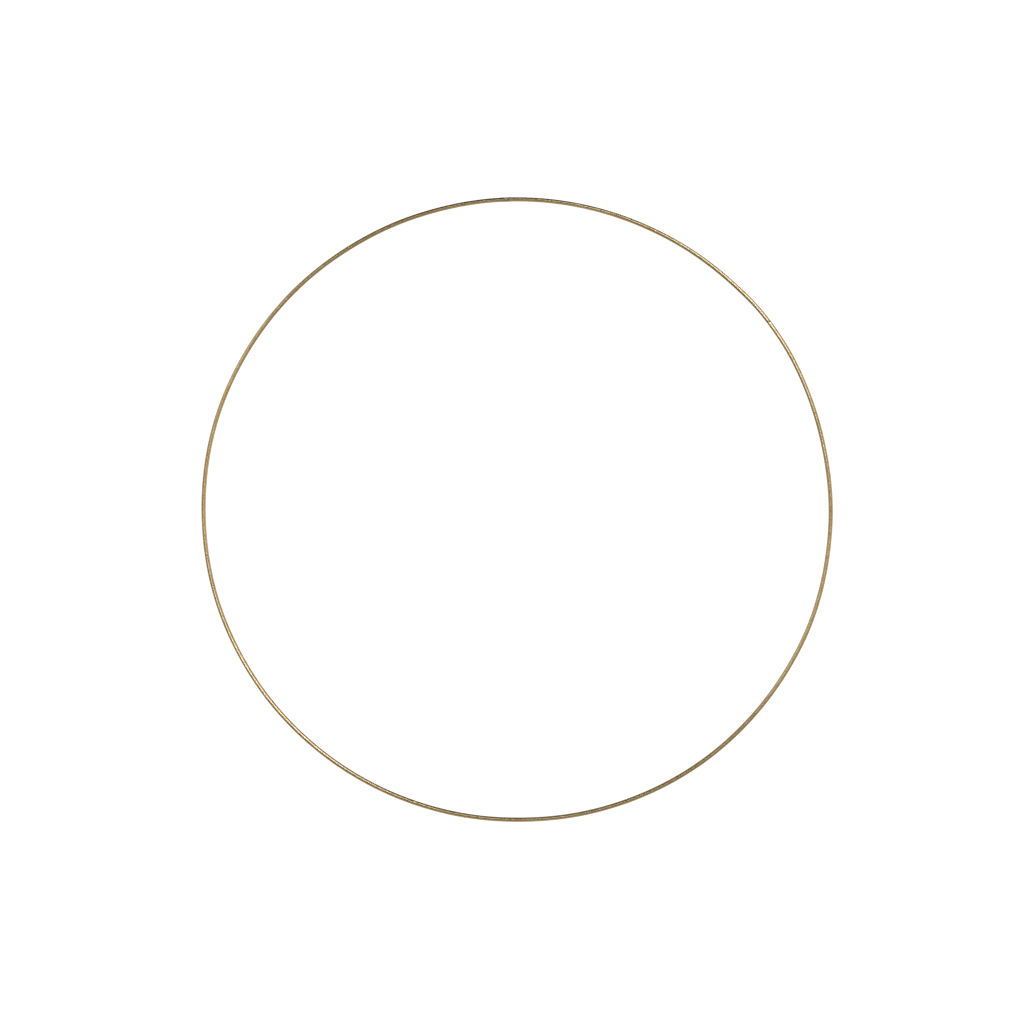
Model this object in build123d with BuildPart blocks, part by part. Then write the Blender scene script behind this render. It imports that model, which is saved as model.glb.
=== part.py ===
from build123d import *
import os

# Wreath frame: a length of brass-finished steel wire, bent to a flat ring and butt-welded end to end.
# The ring lies flat on the plane Z = 0 with its centre on the Z axis. The weld is at +Y, which is the
# top when the frame hangs. The two pieces are the wire, and the weld metal that joins its ends.
# Sizes are in millimetres.

# Driving dimensions
ring_od = 300.0  # outside diameter of the ring
wire_d = 2.0  # round wire
weld_length = 1.7  # bare weld metal, from one end face of the wire to the other
bead_height = 0.15  # how far the bead round the weld stands out from the wire
bead_inset = 0.45  # from each end face of the wire to the foot of the bead
dressed_depth = 0.1  # the weld's front and back are ground flat, this far below the wire's crown

# Sizes that follow from them
wire_r = wire_d / 2
centre_r = ring_od / 2 - wire_r  # radius of the wire's centre line
weld_half = weld_length / 2
bead_half = weld_half - bead_inset

os.makedirs("parts", exist_ok=True)

# The ring, open at the joint: the wire's two end faces are square to it, a weld's length apart.
with BuildPart() as wire_ring:
    with BuildSketch(Plane.XZ):
        with Locations((centre_r, wire_r)):
            Circle(wire_r)
    revolve(axis=Axis.Z)
    with Locations((0, centre_r, wire_r)):
        Box(weld_length, 2 * wire_d, 2 * wire_d, mode=Mode.SUBTRACT)
wire_ring.part.label = "wire_ring"
export_step(wire_ring.part, "parts/wire_ring.step")

# The weld fills the gap from face to face, as thick as the wire, with a bead round its middle. It is
# turned about the wire's centre line there, and then its front and back are ground flat.
with BuildPart() as joint_weld:
    surface_y = centre_r + wire_r
    with BuildSketch(Plane.XY.offset(wire_r)):
        with BuildLine():
            bead = ThreePointArc(
                (-bead_half, surface_y), (0, surface_y + bead_height), (bead_half, surface_y)
            )
            Polyline(
                bead @ 1,
                (weld_half, surface_y),
                (weld_half, centre_r),
                (-weld_half, centre_r),
                (-weld_half, surface_y),
                bead @ 0,
            )
        make_face()
    revolve(axis=Axis((0, centre_r, wire_r), (1, 0, 0)))
    split(bisect_by=Plane.XY.offset(wire_d - dressed_depth), keep=Keep.BOTTOM)
    split(bisect_by=Plane.XY.offset(dressed_depth), keep=Keep.TOP)
joint_weld.part.label = "joint_weld"
export_step(joint_weld.part, "parts/joint_weld.step")
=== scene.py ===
"""Looks of the wreath frame: a brass-finished wire ring with a bare weld at +Y, lying flat on Z = 0.

The CAD nodes give every size and place. Their facets are coarse for a wire this thin, so each is
replaced by a finer mesh that adds what making and handling left on it: gentle bends, a dent, a nick,
swollen ends and a ground weld between them. Lengths are in metres, or in mm where a name or the
docstring says so, and angles are in degrees.
"""

import math

import bmesh
import bpy
from mathutils import Matrix, Vector, noise


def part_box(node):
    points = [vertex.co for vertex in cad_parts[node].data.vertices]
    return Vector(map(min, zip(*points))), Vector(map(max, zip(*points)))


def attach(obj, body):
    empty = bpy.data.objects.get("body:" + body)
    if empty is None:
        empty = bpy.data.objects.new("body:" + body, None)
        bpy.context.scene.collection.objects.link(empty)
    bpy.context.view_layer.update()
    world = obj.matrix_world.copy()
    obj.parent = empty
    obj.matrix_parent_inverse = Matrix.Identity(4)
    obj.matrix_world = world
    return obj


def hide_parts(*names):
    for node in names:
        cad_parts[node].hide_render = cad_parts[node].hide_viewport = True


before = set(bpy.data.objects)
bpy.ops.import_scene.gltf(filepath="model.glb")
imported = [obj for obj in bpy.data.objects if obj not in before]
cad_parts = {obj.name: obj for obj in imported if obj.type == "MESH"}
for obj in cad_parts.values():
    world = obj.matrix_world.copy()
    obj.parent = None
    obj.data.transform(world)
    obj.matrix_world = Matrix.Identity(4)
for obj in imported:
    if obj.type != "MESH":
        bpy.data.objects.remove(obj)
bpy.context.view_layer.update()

MM = 0.001


# ---------------------------------------------------------------- sizes, from the frame

def to_tenth(value):
    """The size to 0.1 mm, as the CAD mesh's facets cut a few hundredths of a mm off a circle."""
    return round(value / MM, 1) * MM


ring_low, ring_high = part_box("wire_ring")
weld_low, weld_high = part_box("joint_weld")
WIRE_R = to_tenth(ring_high.z - ring_low.z) / 2
CENTRE_R = to_tenth(ring_high.x - ring_low.x) / 2 - WIRE_R
WELD_HALF = to_tenth(weld_high.x - weld_low.x) / 2
BEAD_HEIGHT = (weld_high.y - weld_low.y) / 2 - WIRE_R
DRESSED_DEPTH = weld_low.z
CENTRE_Z = WIRE_R
WELD_ANGLE = 90.0  # the joint's direction, counter-clockwise from +X
GAP_ANGLE = math.degrees(math.asin(WELD_HALF / CENTRE_R))  # half of the gap that the weld fills
MM_PER_DEGREE = math.radians(CENTRE_R) / MM  # along the wire
RING_LENGTH_MM = 360 * MM_PER_DEGREE

# ---------------------------------------------------------------- what handling left on the wire

# Gentle bends: direction, how far the wire stands out in mm, and half-width in degrees
BENDS = [
    (7, -0.55, 11),
    (28.5, 0.50, 6.5),
    (37, 0.60, 5.5),
    (46, 0.16, 6),
    (54, 0.12, 6),
    (104, -0.24, 9),
    (120, -0.24, 9),
    (162, 0.18, 10),
    (181, -0.08, 7),
    (196, 0.12, 8),
    (218, 0.08, 12),
    (252, -0.07, 8),
    (268, -0.22, 8),
    (302, 0.19, 12),
    (334, 0.12, 5),
    (350, -0.30, 8),
]
LIFT_MM = 0.12  # how far the wire rises off the table between the places it rests on
REST_PLACES = 3

# A side is a direction round the wire's section: 0 faces out of the ring and 90 up
CROWN = 90

# The dent is a small flat on the crown, facing a little outward
DENT_ANGLE = 33.85
DENT_SIDE = 85
DENT_HALF_WIDTH = 28
DENT_HALF_LENGTH_MM = 1.0
DENT_DEPTH_MM = 0.11

# The nick runs askew across the crown. Its profile along the wire is a groove at 0 between raised
# lips, the first one the highest: place, height and half-length of each, in mm
NICK_ANGLE = 249.5
NICK_SIDE = 95
NICK_HALF_WIDTH = 70
NICK_SKEW_MM = 0.3
NICK_PROFILE_MM = [
    (-2.1, 0.12, 1.0),
    (0.0, -0.10, 0.40),
    (0.7, 0.05, 0.60),
    (2.1, 0.03, 0.60),
]

# Something hard rubbed the crown bright at the dent and on both sides of the nick
DENT_RUB_HALF_LENGTH_MM = 0.9
NICK_RUB_MIDDLE_MM = -0.1
NICK_RUB_OUT_MM = 1.2
NICK_RUB_HALF_LENGTH_MM = 0.7
RUB_HALF_WIDTH = 45

# The ends swelled a little as they were pressed together, and their edges are eased
SWELL_MM = 0.07
SWELL_FROM_END_MM = 0.5
SWELL_HALF_LENGTH_MM = 1.1
EASE_MM = 0.05
EASE_HALF_LENGTH_MM = 0.10


def bump(offset, half_width):
    """1 at the middle, falling smoothly to nothing past about twice the half-width."""
    return math.exp(-((offset / half_width) ** 2))


def turn(a, b):
    """The signed angle from b to a, between -180 and 180."""
    return (a - b + 180) % 360 - 180


def along_wire_mm(angle, mark):
    """The signed distance along the wire from the mark's direction to this one."""
    return turn(angle, mark) * MM_PER_DEGREE


def centre_line(angle):
    """The wire's centre at this direction."""
    out_mm = sum(height * bump(turn(angle, at), width) for at, height, width in BENDS)
    rise = 0.5 + 0.5 * math.cos(math.radians(REST_PLACES * (angle - WELD_ANGLE)))
    radius = CENTRE_R + out_mm * MM
    a = math.radians(angle)
    return Vector((radius * math.cos(a), radius * math.sin(a), CENTRE_Z + LIFT_MM * rise * MM))


def stand_out_mm(angle, side):
    """How far the wire's surface stands out past a plain round wire at this place, all in mm."""
    dent = -DENT_DEPTH_MM * bump(along_wire_mm(angle, DENT_ANGLE), DENT_HALF_LENGTH_MM)
    dent *= bump(turn(side, DENT_SIDE), DENT_HALF_WIDTH)
    skew = NICK_SKEW_MM * math.sin(math.radians(turn(side, CROWN)))
    from_nick = along_wire_mm(angle, NICK_ANGLE) + skew
    nick = sum(height * bump(from_nick - at, half) for at, height, half in NICK_PROFILE_MM)
    nick *= bump(turn(side, NICK_SIDE), NICK_HALF_WIDTH)
    from_end = (abs(turn(angle, WELD_ANGLE)) - GAP_ANGLE) * MM_PER_DEGREE
    swell = SWELL_MM * bump(from_end - SWELL_FROM_END_MM, SWELL_HALF_LENGTH_MM)
    eased = -EASE_MM * bump(from_end, EASE_HALF_LENGTH_MM)
    return dent + nick + swell + eased


def rubbed_bright(angle, side):
    """How far this place is rubbed bright, from 0 to 1."""
    at_dent = bump(along_wire_mm(angle, DENT_ANGLE), DENT_RUB_HALF_LENGTH_MM)
    from_nick_mm = abs(along_wire_mm(angle, NICK_ANGLE) - NICK_RUB_MIDDLE_MM)
    at_nick = bump(from_nick_mm - NICK_RUB_OUT_MM, NICK_RUB_HALF_LENGTH_MM)
    return (at_dent + at_nick) * bump(turn(side, CROWN), RUB_HALF_WIDTH)


# ---------------------------------------------------------------- meshes

ROUND_STEPS = 32
COARSE_STEP_MM = 0.8
FINE_STEP_MM = 0.08
FINE_REACH_MM = 4.0  # steps are fine this near to the weld or a mark,
FINE_FADE_MM = 12.0  # and grow coarse over this much more
SLOPE_REACH = 0.05  # the wire's heading is taken from this far on each side

WIRE_STRIPS = 12
WELD_STRIPS = 1
STRIP_SIDE_MARGIN = 0.08  # of a strip's height
STRIP_END_MARGIN = 0.01  # of a strip's length

# The weld's unevenness. The noise scales are per mm along the weld, and per radius round it
WELD_ROUND_STEPS = 64
WELD_LONG_STEPS = 48
BEAD_SHARE = 0.7  # of the CAD bead's height, which leaves room for the lumps
BEAD_HALF_LENGTH_MM = 0.38
SEAM_DEPTH_MM = 0.04
SEAM_HALF_LENGTH_MM = 0.09
LUMP_MM = 0.05
LUMP_ALONG = 2.2
LUMP_ROUND = 2.0
RIPPLE_MM = 0.015
RIPPLE_ALONG = 7
RIPPLE_ROUND = 6
RIPPLE_SEED = 4
GROUND_WAVE_MM = 0.02
GROUND_WAVE_SCALE = 3
GROUND_WAVE_SEED = 9
GROUND_SOFTNESS = 0.12  # how much of the height past the ground flat is left on it


def stations():
    """Directions along the wire, from one side of the weld round to the other.

    They are closer together near the weld and the marks.
    """
    start = WELD_ANGLE + GAP_ANGLE
    end = WELD_ANGLE + 360 - GAP_ANGLE
    angles = [start]
    while angles[-1] < end:
        here = angles[-1]
        marks = (WELD_ANGLE, DENT_ANGLE, NICK_ANGLE)
        nearest_mm = min(abs(along_wire_mm(here, mark)) for mark in marks)
        coarse = min(1.0, max(0.0, nearest_mm - FINE_REACH_MM) / FINE_FADE_MM)
        step_mm = FINE_STEP_MM + (COARSE_STEP_MM - FINE_STEP_MM) * coarse
        angles.append(here + step_mm / MM_PER_DEGREE)
    scale = (end - start) / (angles[-1] - start)
    return [start + (a - start) * scale for a in angles]


def tube(name, rows, coords, burnish=None):
    """A closed tube through rows of points.

    Its attribute "wire" holds the coordinates given for each point: two across the section and one
    along the wire, in mm. Its attribute "burnished" is 1 where the surface is rubbed bright.
    """
    mesh = bpy.data.meshes.new(name)
    count = len(rows[0])
    points = [p for row in rows for p in row]
    faces = []
    for i in range(len(rows) - 1):
        for j in range(count):
            k = (j + 1) % count
            faces.append((i * count + j, i * count + k, (i + 1) * count + k, (i + 1) * count + j))
    faces.append(tuple(reversed(range(count))))
    faces.append(tuple(range(len(points) - count, len(points))))
    mesh.from_pydata(points, [], faces)
    mesh.shade_smooth()
    wire = mesh.attributes.new("wire", "FLOAT_VECTOR", "POINT")
    wire.data.foreach_set("vector", [c for row in coords for xyz in row for c in xyz])
    if burnish:
        rubbed = mesh.attributes.new("burnished", "FLOAT", "POINT")
        rubbed.data.foreach_set("value", [b for row in burnish for b in row])
    bm = bmesh.new()
    bm.from_mesh(mesh)
    bmesh.ops.recalc_face_normals(bm, faces=bm.faces)
    bm.to_mesh(mesh)
    bm.free()
    obj = bpy.data.objects.new(name, mesh)
    bpy.context.scene.collection.objects.link(obj)
    return obj


def strip_uvs(obj, count, strips):
    """Lays the tube's skin out as level strips that fill the unit square, for even detail."""
    mesh = obj.data
    uv = mesh.uv_layers.new(name="OFBake")
    lengths = [0.0]
    rows = len(mesh.vertices) // count
    for i in range(1, rows):
        step = (mesh.vertices[i * count].co - mesh.vertices[(i - 1) * count].co).length
        lengths.append(lengths[-1] + step)
    total = lengths[-1]
    for face in mesh.polygons:
        loops = list(face.loop_indices)
        ids = [mesh.loops[k].vertex_index for k in loops]
        if len(ids) > 4:
            continue  # an end cap, which the other piece hides
        row_ids = [v // count for v in ids]
        middle = (lengths[min(row_ids)] + lengths[max(row_ids)]) / 2
        strip = min(strips - 1, int(middle / total * strips))
        around = [v % count for v in ids]
        wraps = max(around) - min(around) > 1
        for k, row, j in zip(loops, row_ids, around):
            across = (count if wraps and j == 0 else j) / count
            along = lengths[row] / total * strips - strip
            u = STRIP_END_MARGIN + along * (1 - 2 * STRIP_END_MARGIN)
            v = (strip + STRIP_SIDE_MARGIN + across * (1 - 2 * STRIP_SIDE_MARGIN)) / strips
            uv.data[k].uv = (u, v)


def make_wire():
    """The wire, from one side of the weld round to the other."""
    rows, coords, burnish = [], [], []
    sides = [360 * j / ROUND_STEPS for j in range(ROUND_STEPS)]
    for angle in stations():
        centre = centre_line(angle)
        ahead = (centre_line(angle + SLOPE_REACH) - centre_line(angle - SLOPE_REACH)).normalized()
        outward = ahead.cross(Vector((0, 0, 1))).normalized()
        up = outward.cross(ahead).normalized()
        along_mm = (angle - WELD_ANGLE) * MM_PER_DEGREE
        row, coord = [], []
        for side in sides:
            x, y = math.cos(math.radians(side)), math.sin(math.radians(side))
            r = WIRE_R + stand_out_mm(angle, side) * MM
            row.append(centre + r * (x * outward + y * up))
            coord.append((WIRE_R / MM * x, WIRE_R / MM * y, along_mm))
        rows.append(row)
        coords.append(coord)
        burnish.append([rubbed_bright(angle, side) for side in sides])
    obj = tube("wire", rows, coords, burnish)
    strip_uvs(obj, ROUND_STEPS, WIRE_STRIPS)
    return obj


def weld_radius_mm(x, t):
    """The weld's radius before grinding, x mm along it and t radians round it, all in mm."""
    c, s = math.cos(t), math.sin(t)
    seam = bump(x - WELD_HALF / MM, SEAM_HALF_LENGTH_MM) + bump(x + WELD_HALF / MM, SEAM_HALF_LENGTH_MM)
    bead = BEAD_SHARE * BEAD_HEIGHT / MM * bump(x, BEAD_HALF_LENGTH_MM)
    lump = noise.noise(Vector((x * LUMP_ALONG, c * LUMP_ROUND, s * LUMP_ROUND)))
    ripple = noise.noise(Vector((x * RIPPLE_ALONG, c * RIPPLE_ROUND, RIPPLE_SEED + s * RIPPLE_ROUND)))
    return WIRE_R / MM - SEAM_DEPTH_MM * seam + bead + LUMP_MM * lump + RIPPLE_MM * ripple


def make_weld():
    """The weld metal between the two ends: a low bead with hand-ground front and back, all in mm."""
    rows, coords = [], []
    centre = centre_line(WELD_ANGLE)
    flat = (WIRE_R - DRESSED_DEPTH) / MM
    for i in range(WELD_LONG_STEPS + 1):
        x = WELD_HALF / MM * (2 * i / WELD_LONG_STEPS - 1)
        row, coord = [], []
        for j in range(WELD_ROUND_STEPS):
            t = 2 * math.pi * j / WELD_ROUND_STEPS
            r = weld_radius_mm(x, t)
            y, z = r * math.cos(t), r * math.sin(t)
            wave = noise.noise(Vector((x * GROUND_WAVE_SCALE, y * GROUND_WAVE_SCALE, GROUND_WAVE_SEED)))
            limit = flat + GROUND_WAVE_MM * wave
            past = max(0.0, abs(z) - limit)
            z -= math.copysign(past * (1 - GROUND_SOFTNESS), z)
            row.append(centre + Vector((-x, y, z)) * MM)
            coord.append((y, z, x))
        rows.append(row)
        coords.append(coord)
    obj = tube("weld", rows, coords)
    strip_uvs(obj, WELD_ROUND_STEPS, WELD_STRIPS)
    return obj


# ---------------------------------------------------------------- materials

COLOUR_A, COLOUR_B, COLOUR_OUT = 6, 7, 2  # a mix node's colour sockets, as their names repeat


def srgb(r, g, b):
    """A colour given as it looks on screen, 0 to 255, as the linear values that a shader takes."""
    def linear(c):
        c /= 255
        return c / 12.92 if c <= 0.04045 else ((c + 0.055) / 1.055) ** 2.4
    return (linear(r), linear(g), linear(b), 1.0)


class Nodes:
    """Short calls for building a node tree, where an input takes a value or another node's output."""

    def __init__(self, tree):
        self.tree = tree

    def fill(self, socket, value):
        if isinstance(value, bpy.types.NodeSocket):
            self.tree.links.new(value, socket)
        else:
            socket.default_value = value

    def node(self, kind, inputs, **settings):
        n = self.tree.nodes.new(kind)
        for name, setting in settings.items():
            setattr(n, name, setting)
        for socket, value in inputs.items():
            self.fill(n.inputs[socket], value)
        return n

    def attribute(self, name, output="Vector"):
        return self.node("ShaderNodeAttribute", {}, attribute_name=name).outputs[output]

    def separate(self, vector):
        n = self.node("ShaderNodeSeparateXYZ", {"Vector": vector})
        return n.outputs["X"], n.outputs["Y"], n.outputs["Z"]

    def math(self, operation, a, b=0.0):
        return self.node("ShaderNodeMath", {0: a, 1: b}, operation=operation).outputs["Value"]

    def noise(self, place, across, along, detail=4.0, roughness=0.6):
        """Noise from the wire's coordinates, with a scale across the section and one along the wire."""
        factors = {0: place, 1: (across, across, along)}
        scaled = self.node("ShaderNodeVectorMath", factors, operation="MULTIPLY")
        inputs = {"Vector": scaled.outputs["Vector"], "Scale": 1.0}
        inputs.update({"Detail": detail, "Roughness": roughness})
        return self.node("ShaderNodeTexNoise", inputs).outputs["Fac"]

    def ramp(self, value, low, high, at_low=0.0, at_high=1.0):
        """A smooth step from one value at low to another at high."""
        inputs = {"Value": value, "From Min": low, "From Max": high}
        inputs.update({"To Min": at_low, "To Max": at_high})
        return self.node("ShaderNodeMapRange", inputs, interpolation_type="SMOOTHSTEP").outputs["Result"]

    def mix(self, share, base, over):
        inputs = {"Factor": share, COLOUR_A: base, COLOUR_B: over}
        return self.node("ShaderNodeMix", inputs, data_type="RGBA").outputs[COLOUR_OUT]

    def bump(self, height, strength, distance_mm, under=None):
        inputs = {"Strength": strength, "Distance": distance_mm * MM, "Height": height}
        if under is not None:
            inputs["Normal"] = under
        return self.node("ShaderNodeBump", inputs).outputs["Normal"]


class Finish(Nodes):
    """A new material's node tree."""

    def __init__(self, name):
        self.material = bpy.data.materials.new(name)
        self.material.use_nodes = True
        super().__init__(self.material.node_tree)
        self.shader = self.tree.nodes["Principled BSDF"]

    def set(self, socket, value):
        self.fill(self.shader.inputs[socket], value)


BRASS = srgb(208, 177, 118)
BRASS_PALE = srgb(216, 188, 132)
BRASS_DEEP = srgb(196, 160, 98)
TARNISH = srgb(120, 92, 52)
# painted shade: this dark brown stands in for a dark reflection on the ring's outer side
OUTER_SHADE_BROWN = srgb(100, 70, 28)
HEAT_BROWN = srgb(96, 70, 40)
HEAT_BLUE = srgb(84, 80, 76)
BARE_STEEL = srgb(204, 191, 158)
DARK_STEEL = srgb(170, 159, 130)

EVEN_SHARE = 0.55  # how much the plain brass evens out the drifts of tone
STREAK_SHARE = 0.30
SPECK_SHARE = 0.35

HEAT_BROWN_SHARE = 0.35
HEAT_BROWN_FROM_START_MM = 1.6
HEAT_BROWN_FROM_END_MM = 2.6
HEAT_BLUE_SHARE = 0.18
HEAT_BLUE_LENGTH_MM = 0.5
HEAT_RAGGED_MM = 0.5

# Painted shade on the ring's outer side, standing in for a dark reflection: full up to the first
# distance from the weld, and gone at the second
OUTER_SHADE_SHARE = 0.85
OUTER_SHADE_FROM_START_MM = (40.0, 80.0)
OUTER_SHADE_FROM_END_MM = (10.0, 45.0)
OUTER_SHADE_OUTWARD_MM = (-0.2, 0.6)  # where it sets in and where it is full, out from the wire's centre

SATIN_SMOOTHEST = 0.22
SATIN_ROUGHEST = 0.26
SPECK_ROUGHNESS = 0.3
RUBBED_SMOOTH = 0.12
COAT_ROUGHNESS = 0.12
COAT_IOR = 1.45
LINE_STRENGTH = 0.04
PIT_STRENGTH = 0.05
BRASS_RELIEF_MM = 0.010

FILE_MARK_SHARE = 0.5
WELD_EDGE_SHARE = 0.40
WELD_EDGE_MM = (0.40, 0.80)  # from the weld's middle
WELD_SMOOTHEST = 0.50
WELD_ROUGHEST = 0.65
FILE_MARK_STRENGTH = 0.5
FILE_MARK_MM = 0.02
CLOUD_STRENGTH = 0.4
CLOUD_MM = 0.03


def brass_material():
    """Brass-plated drawn wire under clear lacquer, handled and slightly aged, with painted shade on its
    outer side near the weld.
    """
    m = Finish("brass_finish")
    place = m.attribute("wire")
    outward, _, along = m.separate(place)

    # Colour: broad drifts of tone, then long streaks from the die, then small specks of tarnish
    drift = m.noise(place, across=0.15, along=0.035, detail=3.0)
    colour = m.mix(m.ramp(drift, low=0.35, high=0.65), BRASS_DEEP, BRASS_PALE)
    colour = m.mix(EVEN_SHARE, colour, BRASS)
    streaks = m.noise(place, across=7.0, along=0.10, detail=5.0)
    streak_share = m.ramp(streaks, low=0.52, high=0.75, at_high=STREAK_SHARE)
    colour = m.mix(streak_share, colour, BRASS_DEEP)
    specks = m.noise(place, across=3.5, along=2.2, detail=6.0, roughness=0.7)
    speck_share = m.ramp(specks, low=0.68, high=0.80, at_high=SPECK_SHARE)
    colour = m.mix(speck_share, colour, TARNISH)

    # Heat tint beside the weld: brown, further along the wire's end than its start, and blue-grey
    # over it next to the weld
    from_start = along
    from_end = m.math("SUBTRACT", RING_LENGTH_MM, along)
    rise_and_fall = m.noise(place, across=1.4, along=1.4)
    uneven = m.ramp(rise_and_fall, low=0.3, high=0.7, at_low=-HEAT_RAGGED_MM, at_high=HEAT_RAGGED_MM)
    weld_edge = WELD_HALF / MM
    for distance, reach in ((from_start, HEAT_BROWN_FROM_START_MM), (from_end, HEAT_BROWN_FROM_END_MM)):
        ragged = m.math("ADD", distance, uneven)
        colour = m.mix(m.ramp(ragged, weld_edge, reach, HEAT_BROWN_SHARE, 0.0), colour, HEAT_BROWN)
        blue = m.ramp(ragged, weld_edge, weld_edge + HEAT_BLUE_LENGTH_MM, HEAT_BLUE_SHARE, 0.0)
        colour = m.mix(blue, colour, HEAT_BLUE)

    # Painted shade: the ring's outer side near the weld is painted dark brown, standing in for a dark
    # reflection, further along the wire's start than along its end
    shade_at_start = m.ramp(from_start, *OUTER_SHADE_FROM_START_MM, OUTER_SHADE_SHARE, 0.0)
    shade_at_end = m.ramp(from_end, *OUTER_SHADE_FROM_END_MM, OUTER_SHADE_SHARE, 0.0)
    painted_outer_shade = m.math("MAXIMUM", shade_at_start, shade_at_end)
    outer_side = m.ramp(outward, *OUTER_SHADE_OUTWARD_MM)
    colour = m.mix(m.math("MULTIPLY", painted_outer_shade, outer_side), colour, OUTER_SHADE_BROWN)
    m.set("Base Color", colour)

    m.set("Metallic", 1.0)
    rubbed_over = m.noise(place, across=1.2, along=0.4)
    satin = m.ramp(rubbed_over, low=0.3, high=0.7, at_low=SATIN_SMOOTHEST, at_high=SATIN_ROUGHEST)
    rough = m.math("ADD", satin, m.math("MULTIPLY", speck_share, SPECK_ROUGHNESS))
    rubbed = m.attribute("burnished", "Fac")
    rough = m.math("SUBTRACT", rough, m.math("MULTIPLY", rubbed, RUBBED_SMOOTH))
    m.set("Roughness", rough)
    m.set("Coat Weight", 1.0)
    m.set("Coat Roughness", COAT_ROUGHNESS)
    m.set("Coat IOR", COAT_IOR)

    lines = m.noise(place, across=16.0, along=0.06, detail=3.0)
    pits = m.noise(place, across=5.0, along=4.0, detail=3.0)
    normal = m.bump(lines, LINE_STRENGTH, BRASS_RELIEF_MM)
    pit_height = m.ramp(pits, low=0.68, high=0.82, at_low=1.0, at_high=0.0)
    normal = m.bump(pit_height, PIT_STRENGTH, BRASS_RELIEF_MM, under=normal)
    m.set("Normal", normal)
    return m.material


def weld_material():
    """Bare ground weld metal: dull grey, with file marks across it and browner edges."""
    m = Finish("bare_weld")
    place = m.attribute("wire")
    _, _, along = m.separate(place)
    cloud = m.noise(place, across=2.5, along=2.5, detail=5.0)
    colour = m.mix(m.ramp(cloud, low=0.35, high=0.65), DARK_STEEL, BARE_STEEL)
    marks = m.noise(place, across=2.0, along=22.0, detail=3.0)
    mark_share = m.ramp(marks, low=0.55, high=0.75, at_high=FILE_MARK_SHARE)
    colour = m.mix(mark_share, colour, BARE_STEEL)
    edge = m.ramp(m.math("ABSOLUTE", along), *WELD_EDGE_MM, at_high=WELD_EDGE_SHARE)
    colour = m.mix(edge, colour, HEAT_BROWN)
    m.set("Base Color", colour)
    m.set("Metallic", 1.0)
    rough = m.ramp(marks, low=0.3, high=0.7, at_low=WELD_SMOOTHEST, at_high=WELD_ROUGHEST)
    m.set("Roughness", rough)
    normal = m.bump(marks, FILE_MARK_STRENGTH, FILE_MARK_MM)
    normal = m.bump(cloud, CLOUD_STRENGTH, CLOUD_MM, under=normal)
    m.set("Normal", normal)
    return m.material


# ---------------------------------------------------------------- pieces

wire = make_wire()
weld = make_weld()
wire.data.materials.append(brass_material())
weld.data.materials.append(weld_material())
for piece, node, slot in ((wire, "wire_ring", "brass_finish"), (weld, "joint_weld", "bare_weld")):
    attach(piece, "root")
    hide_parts(node)

# ---------------------------------------------------------------- studio

FLOOR_SIZE = 8.0
FLOOR_Z = -0.00005  # just under the ring, so that the two don't touch
FLOOR_GLOW = 0.86
FLOOR_WHITE = 0.6

# What the wire mirrors: the room's pale walls, each a soft glow in the world. Azimuths are
# counter-clockwise from +X: azimuth, elevation, spread, brightness.
WALL_GLOWS = [
    (10, -3, 38, 1.00),
    (90, -10, 28, 0.25),
    (155, 0, 40, 0.72),
    (268, 0, 55, 0.62),
    (350, 66, 16, 0.65),
]
WALL_COLOUR = (1.0, 0.98, 0.90, 1)
ROOM_DARKEST = 0.02
WHITE = (1, 1, 1, 1)

# Oblong soft boxes round the camera, each facing the ring's centre: azimuth, elevation, heading of
# the long side, length and width as the ring sees them, brightness
SOFT_BOXES = [
    (57, 64, 45, 34, 7, 4.0),
    (183, 74, 28, 24, 7, 3.6),
    (138, 46, 138, 42, 15, 0.7),
]
SOFT_BOX_DISTANCE = 4.0
SOFT_BOX_COLOUR = (0.98, 1.07, 1.32)
WATTS_PER_AREA = 4.0  # at brightness 1


def make_floor():
    """A white floor, which reflections don't see: they see the lower half of the room instead."""
    bpy.ops.mesh.primitive_plane_add(size=FLOOR_SIZE, location=(0, 0, FLOOR_Z))
    floor = bpy.context.object
    floor.name = "floor"
    m = Finish("floor_white")
    m.set("Base Color", (FLOOR_WHITE, FLOOR_WHITE, FLOOR_WHITE, 1))
    m.set("Roughness", 1.0)
    m.set("Specular IOR Level", 0.0)
    m.set("Emission Color", WHITE)
    m.set("Emission Strength", FLOOR_GLOW)
    floor.data.materials.append(m.material)
    floor.visible_glossy = False


def direction(azimuth, elevation):
    a, e = math.radians(azimuth), math.radians(elevation)
    return Vector((math.cos(a) * math.cos(e), math.sin(a) * math.cos(e), math.sin(e)))


def make_world():
    """A pale room: camera rays see white, and everything else sees the glow of its walls."""
    world = bpy.data.worlds.new("studio")
    bpy.context.scene.world = world
    world.use_nodes = True
    m = Nodes(world.node_tree)
    looking = m.node("ShaderNodeTexCoord", {}).outputs["Generated"]
    level = ROOM_DARKEST
    for azimuth, elevation, spread, brightness in WALL_GLOWS:
        vectors = {0: looking, 1: direction(azimuth, elevation)}
        facing = m.node("ShaderNodeVectorMath", vectors, operation="DOT_PRODUCT")
        off = m.math("SUBTRACT", facing.outputs["Value"], 1.0)
        narrow = 1 / (1 - math.cos(math.radians(spread)))
        glow = m.math("EXPONENT", m.math("MULTIPLY", off, narrow))
        level = m.math("ADD", m.math("MULTIPLY", glow, brightness), level)
    room = m.tree.nodes["Background"]
    m.fill(room.inputs["Color"], WALL_COLOUR)
    m.fill(room.inputs["Strength"], level)
    white = m.node("ShaderNodeBackground", {"Color": WHITE, "Strength": 1.0})
    seen_by_camera = m.node("ShaderNodeLightPath", {}).outputs["Is Camera Ray"]
    shaders = {"Fac": seen_by_camera, 1: room.outputs[0], 2: white.outputs[0]}
    mixed = m.node("ShaderNodeMixShader", shaders)
    m.fill(m.tree.nodes["World Output"].inputs["Surface"], mixed.outputs[0])


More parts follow.
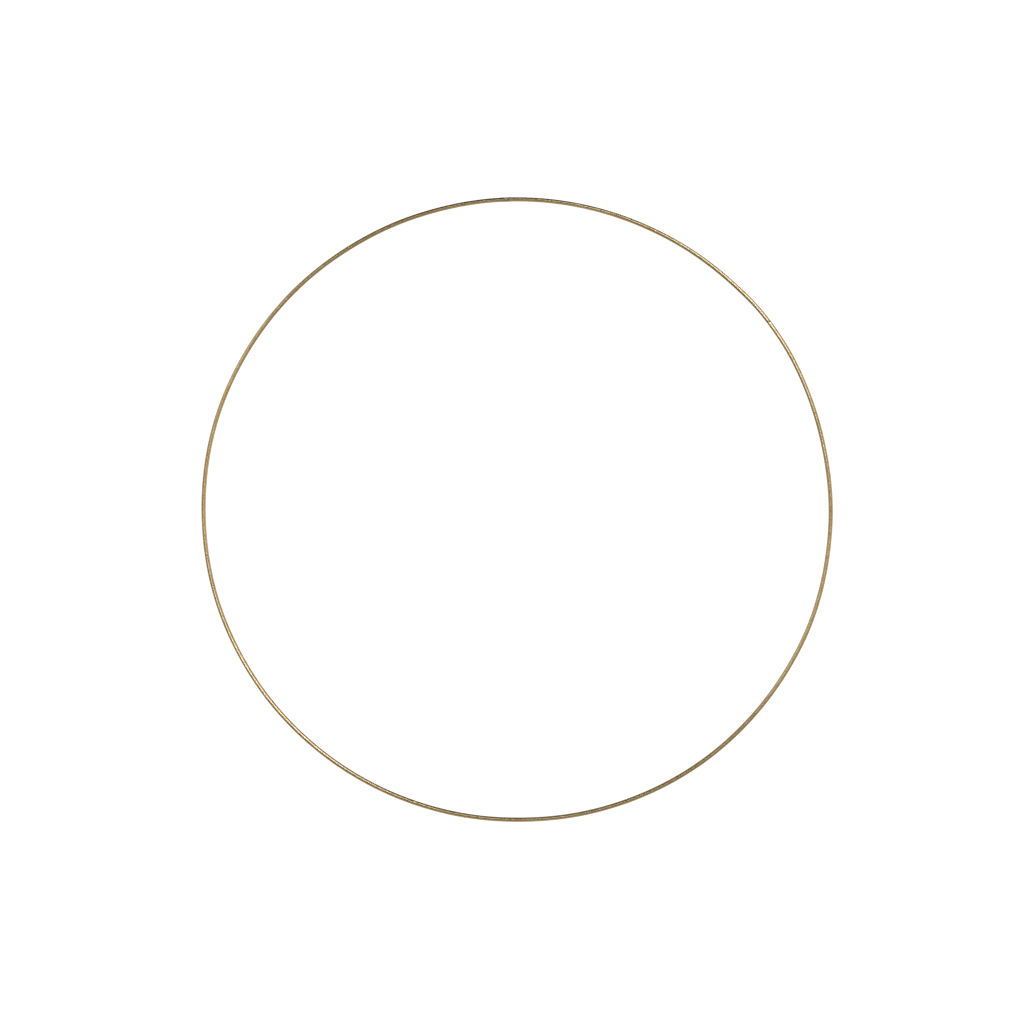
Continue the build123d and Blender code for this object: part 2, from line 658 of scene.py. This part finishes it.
def make_soft_box(azimuth, elevation, heading, length, width, brightness):
    """An oblong soft light that faces the ring's centre, with its long side along the heading."""
    data = bpy.data.lights.new("soft_box", "AREA")
    data.shape = "RECTANGLE"
    data.size = 2 * SOFT_BOX_DISTANCE * math.tan(math.radians(width / 2))
    data.size_y = 2 * SOFT_BOX_DISTANCE * math.tan(math.radians(length / 2))
    data.energy = WATTS_PER_AREA * data.size * data.size_y * brightness
    data.color = SOFT_BOX_COLOUR
    light = bpy.data.objects.new("soft_box", data)
    towards = direction(azimuth, elevation)
    across = towards.cross(direction(heading, 0)).normalized()
    axes = Matrix((across, towards.cross(across), towards)).transposed()
    light.matrix_world = Matrix.Translation(towards * SOFT_BOX_DISTANCE) @ axes.to_4x4()
    bpy.context.scene.collection.objects.link(light)


make_floor()
make_world()
for soft_box in SOFT_BOXES:
    make_soft_box(*soft_box)

# ---------------------------------------------------------------- camera

LENS_MM = 85.0
SENSOR_MM = 36.0
NEAR_LIMIT = 0.01
FAR_LIMIT = 100
FRAME_WIDTH = 0.4856  # how much the picture takes in at the ring's plane
VIEW_TILT = 8.7  # the camera stands this far off the ring's axis,
VIEW_AZIMUTH = -6.8  # on the side that is this far round from -Y
VIEW_ROLL = 4.68
AIM = Vector((-0.0030, -0.0039, CENTRE_Z))


def make_camera():
    """The camera looks almost straight down on the ring, whose weld is at the top of the picture."""
    data = bpy.data.cameras.new("camera")
    data.lens = LENS_MM
    data.sensor_width = SENSOR_MM
    data.clip_start = NEAR_LIMIT
    data.clip_end = FAR_LIMIT
    camera = bpy.data.objects.new("camera", data)
    a, tilt = math.radians(VIEW_AZIMUTH), math.radians(VIEW_TILT)
    back = Vector((math.sin(a) * math.sin(tilt), -math.cos(a) * math.sin(tilt), math.cos(tilt)))
    right = Vector((math.cos(a), math.sin(a), 0))
    axes = Matrix((right, back.cross(right), back)).transposed()
    distance = FRAME_WIDTH * LENS_MM / SENSOR_MM
    turned = axes.to_4x4() @ Matrix.Rotation(math.radians(VIEW_ROLL), 4, "Z")
    camera.matrix_world = Matrix.Translation(AIM + back * distance) @ turned
    bpy.context.scene.collection.objects.link(camera)
    bpy.context.scene.camera = camera


make_camera()
bpy.context.scene.view_settings.view_transform = "Standard"
